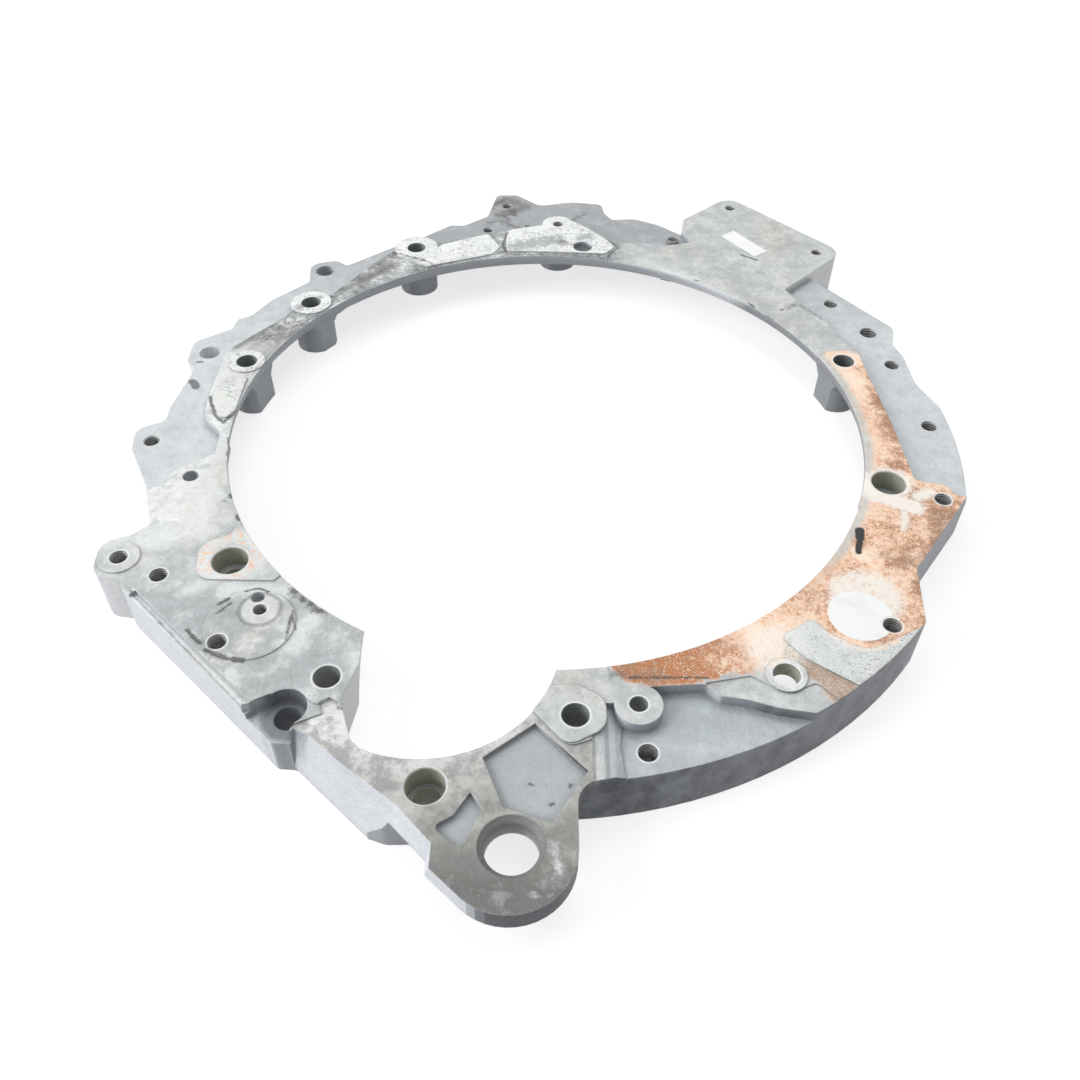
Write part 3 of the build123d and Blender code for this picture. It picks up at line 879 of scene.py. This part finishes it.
@dataclass(frozen=True)
class MarkFinish:
    """Pale rims, partly painted highlight, painted light and shade in the bores, the small left hole's ring,
    the bead's painted highlights and groove shade, soot, specks and the black paint mark.
    """

    # bore darkens the holes' walls as painted shade; the next colour lights the wider bores' walls as
    # painted light.
    bore: Colour = shade(112, 117, 113)
    lit_bore: Colour = shade(190, 188, 173)
    ink: Colour = shade(36, 36, 38)
    # Farther than any mouth is from a place that its worn rim should mark.
    far_off: float = 99.0
    bright_ring: Band = (3.6, 8.2, 0.5)
    dark_ring: Band = (8.8, 10.4, 0.6)
    mouths: tuple[Hole, ...] = (
        *holes(BOLT_R, (-173.2, 50.4), (-145.8, 111.9), (-86.5, 178.1), (173.0, 56.7)),
        *holes(BOLT_R, STAINED_BOLT, (-93.5, -175.1), (12.6, -193.6)), (39.3, -187.4, 4.0),
        *holes(DOWEL_R, WEST_DOWEL, EAST_DOWEL), (*COUNTERBORE, COUNTERBORE_R),
        *holes(Thread.RINGED.core / 2, RINGED_HOLE),
        *holes(Thread.MEDIUM.core / 2, (-144.5, -156.6), (155.9, -143.2), (200.3, -60.2)),
        *holes(Thread.SMALL.core / 2, (7.4, 210.8)),
        *holes(Thread.MEDIUM.core / 2, (-202.4, -106.1), (-180.9, -116.7), (42.4, -207.2)),
    )
    lit_bores: tuple[Hole, ...] = (
        *holes(DOWEL_R, WEST_DOWEL, EAST_DOWEL), (*COUNTERBORE, COUNTERBORE_R), (*STAINED_BOLT, BOLT_R),
    )
    # Painted highlights along both sides of the left lip's thin bead, and painted shade in the groove
    # between them.
    bead_highlights: Mark = Mark((
        Track(((-190.0, -125.6), (-125.6, -189.4)), 0.5), Track(((-192.2, -128.0), (-127.6, -191.8)), 0.4),
    ), WORN_EDGE_AND_HIGHLIGHT, 1.2, 0.4, 0.85)
    groove_shade: Mark = Mark((Track(((-191.1, -126.8), (-126.6, -190.6)), 0.35),), SOOT_AND_SHADE, 1.2, 0.4, 0.6)
    stains: Mark = Mark((
        Track(((-116.5, -126.0), (-108.0, -133.0), (-100.0, -139.6)), 1.4),
        Track(((-26.5, 226.4), (-29.5, 231.0)), 1.0), Track(((-22.6, 235.0), (-24.5, 240.0)), 1.4),
        Track(((-11.8, 214.3), (-14.0, 218.0)), 1.2), Track(((-34.5, 252.0), (-30.5, 258.0)), 1.0),
    ), GRIME, 14.0, 1.8, 0.8)
    smudges: Mark = Mark((
        Track(((-129.0, 126.8), (-117.6, 138.2), (-98.2, 158.8)), 2.6),
        Track(((-182.0, 64.8), (-169.7, 83.4), (-158.3, 102.8)), 1.6),
        Track(((-152.4, 105.1), (-141.2, 117.4)), 2.2),
        Track(((-40.5, 246.5), (-28.5, 255.5), (-16.0, 246.0), (-33.0, 234.0)), 4.5),
        Track(((-40.0, 222.0), (-34.0, 226.0), (-20.0, 216.0)), 2.0),
        Track(((14.0, 224.0), (26.0, 236.0)), 1.5),
        Track(((33.3, 202.9), (42.0, 193.2), (46.9, 182.2)), 1.8),
        Track(((10.0, 187.0), (16.0, 184.0)), 1.8),
        Track(((147.0, 112.0), (156.0, 117.0), (164.0, 108.0), (168.0, 101.0)), 0.8),
        Track(((28.4, -171.8), (41.0, -173.4), (50.0, -173.0)), 1.0),
    ), SOOT_AND_SHADE, 12.0, 2.2, 0.65)
    scratches: Mark = Mark((
        Track(((-148.9, -160.9), (-143.1, -163.6), (-137.8, -165.7), (-131.5, -166.7)), 1.0),
        Track(((-159.5, -149.7), (-155.9, -153.7), (-152.0, -157.0)), 0.9),
        Track(((-114.2, -138.6), (-114.5, -145.1), (-114.5, -154.9)), 0.5),
        Track(((-111.1, -149.1), (-113.6, -143.0)), 0.4),
        Track(((-149.0, -134.8), (-144.5, -131.3)), 1.0),
        Track(((-148.2, -140.3), (-143.1, -134.3)), 0.6),
        Track(((-27.1, 198.5), (-29.4, 183.4), (-27.1, 174.5)), 0.8),
        Track(((-107.2, 175.6), (-76.2, 159.9), (-71.1, 153.9)), 0.5),
        Track(((-187.1, 17.3), (-180.8, 1.5), (-175.1, -5.0), (-170.4, 4.3)), 0.9),
        Track(((128.3, 174.5), (138.0, 168.4)), 0.8),
        Track(((-137.8, -126.6), (-131.8, -124.9), (-127.2, -127.0)), 0.7),
        Track(((70.0, -173.4), (36.0, -173.6)), 0.5),
    ), GRIME, 3.0, 0.45, 0.8)
    specks: Mark = Mark((
        Track(((-169.6, -17.7), (-168.5, -22.0)), 0.8), Track(((-167.0, -29.5), (-167.0, -31.0)), 0.8),
        Track(((-158.7, -62.2), (-157.7, -64.0)), 1.2), Track(((-161.6, -66.4), (-160.6, -66.4)), 0.4),
        Track(((-151.9, -77.0), (-150.9, -79.0)), 1.6), Track(((95.1, 143.4), (97.0, 142.0)), 0.7),
        Track(((125.9, 116.7), (129.0, 112.0)), 0.8), Track(((144.6, 110.2), (146.0, 110.2)), 0.7),
        Track(((-199.9, 33.3), (-203.0, 38.0)), 2.4), Track(((-204.6, 57.1), (-202.0, 57.5)), 1.0),
        Track(((135.0, 103.3), (138.0, 99.0)), 0.6), Track(((154.4, 68.2), (156.0, 64.0)), 0.6),
        Track(((-5.9, -224.4), (-5.0, -225.0)), 0.5), Track(((10.3, -224.7), (10.0, -225.6)), 0.6),
        Track(((3.2, -233.2), (2.2, -233.8)), 0.7),
    ), GRIME, 3.0, 0.5, 0.75)
    paint_mark: tuple[Track, ...] = (
        Track(((153.7, -83.0), (152.6, -88.0)), 2.3), Track(((152.6, -88.0), (150.0, -97.5)), 1.6),
    )

    def lay(self, paint: Painter, on: Faces) -> None:
        """Adds the marks, the boldest last.

        Args:
            paint: The casting's painter.
            on: Its faces and noise.
        """
        rim: Amount = self.far_off
        for x, y, radius in self.mouths:
            rim = paint.math("MINIMUM", rim, paint.spot(x, y) - radius)
        # Pale rims round the hole mouths: partly bright machined chamfers, partly painted highlight.
        paint.coat(SCRAPED_METAL_AND_HIGHLIGHT, (rim + (on.fine - 0.5)).between(-0.5, 0.8, 0.25) * on.up * 0.75)
        # Painted shade on the walls just inside the hole mouths, greenish grey.
        paint.coat(self.bore, rim.below(0.1, 0.2) * on.wall * 0.75)
        # Painted light: the walls inside the dowel bores, the counterbore and the stained bolt's hole are
        # lit warm and pale.
        for x, y, radius in self.lit_bores:
            paint.coat(self.lit_bore, paint.spot(x, y).below(radius + 0.4, 0.2) * on.wall * 0.8)
        ring = paint.spot(*RINGED_HOLE) + (on.fine - 0.5) * 2.5
        paint.coat(PALE_METAL, ring.between(*self.bright_ring) * on.up * 0.5)
        paint.coat(SOOT_AND_SHADE, ring.between(*self.dark_ring) * on.up * 0.5)
        for mark in (self.bead_highlights, self.groove_shade, self.stains, self.smudges, self.scratches, self.specks):
            here = paint.near(mark.tracks, (on.fine - 0.5) * mark.stray, mark.fade)
            paint.coat(mark.colour, here * on.up * mark.cover)
        pits = paint.cells(3.4).below(0.09, 0.05) * on.patch.above(0.55, 0.08)
        paint.coat(SOOT_AND_SHADE, pits * 0.6)
        paint.coat(self.ink, paint.near(self.paint_mark, (on.fine - 0.5) * 1.6, 0.35) * on.top)


@dataclass(frozen=True)
class HollowShade:
    """Painted shade: dark metal in the dimple, the side recess and the lobe bore's chamfer."""

    dimple: Colour = shade(84, 88, 94)
    recess: Colour = shade(84, 88, 94)
    chamfer: Colour = shade(112, 113, 110)
    dimple_place: Place = (23.8, 181.5)
    dimple_reach: Border = (6.0, 0.6)
    dimple_top: Border = (28.4, 0.3)
    recess_place: Place = (-108.8, -190.6)
    recess_reach: Border = (11.5, 1.5)
    recess_top: Border = (28.2, 0.2)
    chamfer_place: Place = (-12.5, -252.5)
    chamfer_reach: Border = (13.4, 0.3)
    chamfer_bottom: Border = (20.0, 4.0)

    def lay(self, paint: Painter, on: Faces) -> None:
        """Paints shade into the hollows.

        Args:
            paint: The casting's painter.
            on: Its faces and noise.
        """
        dimple = paint.spot(*self.dimple_place).below(*self.dimple_reach)
        paint.coat(self.dimple, dimple * paint.z.below(*self.dimple_top) * 0.9)
        recess = (paint.spot(*self.recess_place) + (on.fine - 0.5) * 3).below(*self.recess_reach)
        paint.coat(self.recess, recess * paint.z.below(*self.recess_top) * 0.7)
        chamfer = paint.spot(*self.chamfer_place).below(*self.chamfer_reach)
        paint.coat(self.chamfer, chamfer * paint.z.above(*self.chamfer_bottom) * 0.85)


@dataclass(frozen=True)
class CastingFinish:
    """The plate's worn aluminium: as-cast, scraped, rust-stained and grimy by zone, with painted light and
    shade on its walls, edges, bores, hollows and creases.
    """

    walls: WallLightAndShade = WallLightAndShade()
    flats: FlatFinish = FlatFinish()
    pads: PadFinish = PadFinish()
    rust: RustFinish = RustFinish()
    marks: MarkFinish = MarkFinish()
    hollows: HollowShade = HollowShade()
    edge_width: float = 0.0009
    crease_reach: float = 0.005
    metallic: float = 0.2
    bump_depth: float = 0.0009

    def build(self) -> bpy.types.Material:
        """Makes the material.

        Returns:
            The finished material.
        """
        paint = Painter("worn_cast_aluminium_light_and_shade")
        on = Faces(paint)
        for step in (self.walls, self.flats, self.pads, self.rust):
            step.lay(paint, on)
        rounded, wear_and_highlight = paint.edges(self.edge_width)
        # Edges are lightened: partly worn metal, partly a painted highlight on their rounding.
        paint.coat(WORN_EDGE_AND_HIGHLIGHT, wear_and_highlight.above(0.08, 0.05) * 0.45)
        self.marks.lay(paint, on)
        self.hollows.lay(paint, on)
        # Painted shade: inner corners and creases are darkened by how closed in they are.
        paint.coat(SOOT_AND_SHADE, paint.creases(self.crease_reach).below(0.78, 0.2) * 0.4)
        tone = 1.0 + (on.fine - 0.5) * 0.3 + (on.grit - 0.5) * 0.32 + (on.patch - 0.5) * 0.22
        height = on.fine * 0.5 + on.grit * 0.35 + on.patch * 0.6
        rough = paint.math("MULTIPLY_ADD", on.fine, 0.25, 0.38)
        colour = paint.scaled(paint.colour, tone)
        return paint.finish(colour, rough, self.metallic, height, self.bump_depth, rounded)


@dataclass(frozen=True)
class PaperFinish:
    """Blank white label paper with a faint grain."""

    colour: Colour = shade(250, 252, 252)
    worn: Colour = shade(232, 234, 234)

    def build(self) -> bpy.types.Material:
        """Makes the material.

        Returns:
            The finished material.
        """
        paint = Painter("label_paper")
        fibre = paint.noise(0.6, 4.0, 0.6)
        smudge = paint.noise(9.0, 3.0, 0.5, shift=7.0)
        colour = paint.layer(self.colour, self.worn, smudge.above(0.6, 0.12) * 0.6)
        return paint.finish(colour, 0.6 + fibre * 0.1, 0.0, fibre, 0.00005)


@dataclass(frozen=True)
class ThreadFinish:
    """Dark oily metal inside the tapped holes, darker towards their bottoms."""

    colour: Colour = shade(178, 178, 176)
    dirt: Colour = shade(48, 46, 44)

    def build(self) -> bpy.types.Material:
        """Makes the material.

        Returns:
            The finished material.
        """
        paint = Painter("thread_metal")
        film = paint.noise(2.5, 4.0, 0.6)
        deep = paint.z.below(17.0, 9.0)
        # Darker under a patchy film and towards the bottom of each hole.
        colour = paint.layer(self.colour, self.dirt, film.above(0.5, 0.2) * 0.6 + deep * 0.4)
        return paint.finish(colour, 0.35 + film * 0.2, 0.5, film, 0.0001)


@dataclass
class TappedHoles:
    """Thread ridges for all tapped holes of one size.

    Each hole is its place on the plate and the height of the face it starts from, in millimetres.
    A ridge is a ring with a triangular section, sunk a little into the hole's wall.
    """

    name: str
    thread: Thread
    holes: Sequence[Hole]
    turns: int = 9
    depth: float = 0.7
    sides: int = 28
    ridge_sides: int = 3
    sink: float = 0.12

    def tree(self) -> bpy.types.NodeTree:
        """Builds the node tree that sets rows of ridges on the holes' points.

        Returns:
            The tree, whose inputs are the ridge sizes and the material.
        """
        tree = bpy.data.node_groups.new(f"{self.name}_ridges", "GeometryNodeTree")
        face = tree.interface
        face.new_socket("Geometry", in_out="INPUT", socket_type="NodeSocketGeometry")
        for label in ("Core Radius", "Pitch", "Ridge Depth"):
            face.new_socket(label, in_out="INPUT", socket_type="NodeSocketFloat")
        for label in ("Turns", "Sides"):
            face.new_socket(label, in_out="INPUT", socket_type="NodeSocketInt")
        face.new_socket("Material", in_out="INPUT", socket_type="NodeSocketMaterial")
        face.new_socket("Geometry", in_out="OUTPUT", socket_type="NodeSocketGeometry")
        new, link = tree.nodes.new, tree.links.new
        given, result = new("NodeGroupInput"), new("NodeGroupOutput")
        circle = new("GeometryNodeCurvePrimitiveCircle")
        profile = new("GeometryNodeCurvePrimitiveCircle")
        profile.inputs["Resolution"].default_value = self.ridge_sides
        link(given.outputs["Core Radius"], circle.inputs["Radius"])
        link(given.outputs["Sides"], circle.inputs["Resolution"])
        link(given.outputs["Ridge Depth"], profile.inputs["Radius"])
        ridge, row = new("GeometryNodeCurveToMesh"), new("GeometryNodeMeshLine")
        link(circle.outputs["Curve"], ridge.inputs["Curve"])
        link(profile.outputs["Curve"], ridge.inputs["Profile Curve"])
        link(given.outputs["Turns"], row.inputs["Count"])
        drop, step = new("ShaderNodeMath"), new("ShaderNodeCombineXYZ")
        drop.operation = "MULTIPLY"
        drop.inputs[1].default_value = -1.0
        link(given.outputs["Pitch"], drop.inputs[0])
        link(drop.outputs[0], step.inputs["Z"])
        link(step.outputs[0], row.inputs["Offset"])
        stack, spread = new("GeometryNodeInstanceOnPoints"), new("GeometryNodeInstanceOnPoints")
        link(row.outputs["Mesh"], stack.inputs["Points"])
        link(ridge.outputs["Mesh"], stack.inputs["Instance"])
        link(given.outputs["Geometry"], spread.inputs["Points"])
        link(stack.outputs["Instances"], spread.inputs["Instance"])
        whole, dress = new("GeometryNodeRealizeInstances"), new("GeometryNodeSetMaterial")
        link(spread.outputs["Instances"], whole.inputs["Geometry"])
        link(whole.outputs["Geometry"], dress.inputs["Geometry"])
        link(given.outputs["Material"], dress.inputs["Material"])
        link(dress.outputs["Geometry"], result.inputs["Geometry"])
        return tree

    def build(self, material: bpy.types.Material) -> bpy.types.Object:
        """Makes the ridges as one plain mesh.

        Args:
            material: What they are dressed in.

        Returns:
            The finished piece.
        """
        points = [plan(x, y, top - self.thread.pitch) for x, y, top in self.holes]
        mesh = bpy.data.meshes.new(f"{self.name}_points")
        mesh.from_pydata(points, [], [])
        carrier = bpy.data.objects.new(f"{self.name}_carrier", mesh)
        bpy.context.scene.collection.objects.link(carrier)
        modifier = carrier.modifiers.new("ridges", "NODES")
        modifier.node_group = self.tree()
        values = {
            "Core Radius": (self.thread.core / 2 + self.sink) * MM, "Pitch": self.thread.pitch * MM,
            "Ridge Depth": self.depth * MM, "Turns": self.turns, "Sides": self.sides,
            "Material": material,
        }
        for item in modifier.node_group.interface.items_tree:
            if item.in_out == "INPUT" and item.name in values:
                modifier[item.identifier] = values[item.name]
        depsgraph = bpy.context.evaluated_depsgraph_get()
        made = bpy.data.meshes.new_from_object(carrier.evaluated_get(depsgraph))
        made.name = self.name
        piece = bpy.data.objects.new(self.name, made)
        bpy.context.scene.collection.objects.link(piece)
        bpy.data.objects.remove(carrier)
        for polygon in made.polygons:
            polygon.use_smooth = True
        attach(piece, "root")
        return piece


@dataclass
class RingPlate:
    """The casting with its labels and threads."""

    casting: CastingFinish = field(default_factory=CastingFinish)
    paper: PaperFinish = field(default_factory=PaperFinish)
    threads: ThreadFinish = field(default_factory=ThreadFinish)
    small: Sequence[Hole] = (
        (-28.5, 246.5, LEDGE_Z), (128.6, 237.4, BAND_Z), (178.8, 178.8, BAND_Z),
        (-40.6, 212.5, LEDGE_Z), (7.4, 210.8, LAND_Z), (85.0, 195.2, BAND_Z),
    )
    medium: Sequence[Hole] = (
        (-202.4, -106.1, LAND_Z), (-212.6, -14.2, LEDGE_Z), (-180.9, -116.7, CAST_Z),
        (-144.5, -156.6, LAND_Z), (179.2, 124.7, LEDGE_Z), (203.3, 60.6, LEDGE_Z),
        (211.0, 4.3, LEDGE_Z), (200.3, -60.2, CAST_Z), (155.9, -143.2, CAST_Z),
        (42.4, -207.2, POCKET_Z),
    )
    large: Sequence[Hole] = ((196.4, 93.3, LEDGE_Z),)
    ringed: Sequence[Hole] = ((*RINGED_HOLE, LAND_Z),)

    def dress(self, nodes: dict[str, bpy.types.Object]) -> None:
        """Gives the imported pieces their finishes.

        Args:
            nodes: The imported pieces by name.
        """
        casting, paper = self.casting.build(), self.paper.build()
        for name, material in (("adapter_plate", casting), ("round_label", paper), ("strip_label", paper)):
            for slot in nodes[name].material_slots:
                slot.material = material
            LOG.info("%s dressed in %s", name, material.name)

    def build(self, nodes: dict[str, bpy.types.Object]) -> None:
        """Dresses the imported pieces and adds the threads.

        Args:
            nodes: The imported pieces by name.
        """
        self.dress(nodes)
        material = self.threads.build()
        for group in (
            TappedHoles("small_threads", Thread.SMALL, self.small),
            TappedHoles("medium_threads", Thread.MEDIUM, self.medium),
            TappedHoles("large_threads", Thread.LARGE, self.large),
            TappedHoles("ringed_threads", Thread.RINGED, self.ringed),
        ):
            piece = group.build(material)
            LOG.info("%s has %d faces", piece.name, len(piece.data.polygons))


@dataclass(frozen=True)
class Lamp:
    """A soft square lamp that faces the plate, with its power in watts and its sizes in metres."""

    name: str
    power: float
    width: float
    place: tuple[float, float, float]

    def build(self) -> None:
        """Hangs the lamp."""
        data = bpy.data.lights.new(self.name, "AREA")
        data.energy, data.size = self.power, self.width
        made = bpy.data.objects.new(self.name, data)
        made.location = self.place
        made.rotation_euler = (-Vector(self.place)).to_track_quat("-Z", "Y").to_euler()
        bpy.context.scene.collection.objects.link(made)


@dataclass
class Studio:
    """A white floor, soft lights and the camera at the photograph's angle.

    The camera's eye is measured like places on the plate. The floor and the camera's range of
    sight are in metres.
    """

    image: float = 1080.0
    focal: float = 1050.0
    sensor: float = 36.0
    eye: tuple[float, float, float] = (-2.85, -446.88, 391.1)
    right: tuple[float, float, float] = (0.99995626, 0.00668124, 0.00654442)
    down: tuple[float, float, float] = (0.00935245, -0.71435235, -0.6997237)
    ahead: tuple[float, float, float] = (0.0, 0.69975431, -0.71438359)
    sight: tuple[float, float] = (0.01, 50.0)
    floor_half: float = 6.0
    floor_grey: float = 0.4
    floor_glow: float = 0.74
    ambient: float = 0.34
    lamps: tuple[Lamp, ...] = (
        Lamp("overhead", 16.0, 1.8, (0.2, 0.6, 1.8)), Lamp("left", 70.0, 2.0, (-2.6, -0.4, 1.5)),
    )

    def camera(self) -> None:
        """Sets up the camera."""
        data = bpy.data.cameras.new("camera")
        data.sensor_width = self.sensor
        data.lens = self.focal * self.sensor / self.image
        data.clip_start, data.clip_end = self.sight
        made = bpy.data.objects.new("camera", data)
        axes = Matrix((self.right, [-v for v in self.down], [-v for v in self.ahead])).transposed()
        made.matrix_world = Matrix.Translation(plan(*self.eye)) @ axes.to_4x4()
        bpy.context.scene.collection.objects.link(made)
        bpy.context.scene.camera = made

    def seen(self, painter: Painter) -> Field:
        """One for rays that should see plain white, from the camera, gloss or glass."""
        path = painter.node("ShaderNodeLightPath")
        kinds = ("Camera", "Glossy", "Transmission")
        rays = [Field(painter, path.outputs[f"Is {kind} Ray"]) for kind in kinds]
        return painter.math("MAXIMUM", painter.math("MAXIMUM", rays[0], rays[1]), rays[2])

    def floor(self) -> None:
        """Makes the floor, which keeps the plate's soft shadow."""
        half = self.floor_half
        mesh = bpy.data.meshes.new("floor")
        corners = [(-half, -half, 0), (half, -half, 0), (half, half, 0), (-half, half, 0)]
        mesh.from_pydata(corners, [], [(0, 1, 2, 3)])
        made = bpy.data.objects.new("floor", mesh)
        bpy.context.scene.collection.objects.link(made)
        paint = Painter("studio_floor")
        matt = paint.node("ShaderNodeBsdfDiffuse")
        paint.plug(matt.inputs["Color"], (self.floor_grey, self.floor_grey, self.floor_grey))
        glow = paint.node("ShaderNodeEmission")
        paint.plug(glow.inputs["Strength"], self.seen(paint) * self.floor_glow)
        both, output = paint.node("ShaderNodeAddShader"), paint.node("ShaderNodeOutputMaterial")
        paint.plug(both.inputs[0], matt.outputs[0])
        paint.plug(both.inputs[1], glow.outputs[0])
        paint.plug(output.inputs["Surface"], both.outputs[0])
        mesh.materials.append(paint.holder)

    def world(self) -> None:
        """Sets a white surround for the camera and gloss, and a dimmer one for light."""
        paint = Painter("studio_world", bpy.data.worlds.new("studio"))
        bpy.context.scene.world = paint.holder
        ground, output = paint.node("ShaderNodeBackground"), paint.node("ShaderNodeOutputWorld")
        paint.plug(ground.inputs["Color"], (1.0, 1.0, 1.0))
        paint.plug(ground.inputs["Strength"], self.seen(paint) * (1.0 - self.ambient) + self.ambient)
        paint.plug(output.inputs["Surface"], ground.outputs[0])

    def build(self) -> None:
        """Makes the whole studio."""
        bpy.context.scene.view_settings.view_transform = "Standard"
        self.camera()
        self.floor()
        self.world()
        for lamp in self.lamps:
            lamp.build()
        LOG.info("studio ready")


def main() -> None:
    """Builds the plate and its studio in order."""
    logging.basicConfig(level=logging.INFO, format="%(name)s: %(message)s")
    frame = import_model()
    RingPlate().build(frame["nodes"])
    Studio().build()


if __name__ == "__main__":
    main()
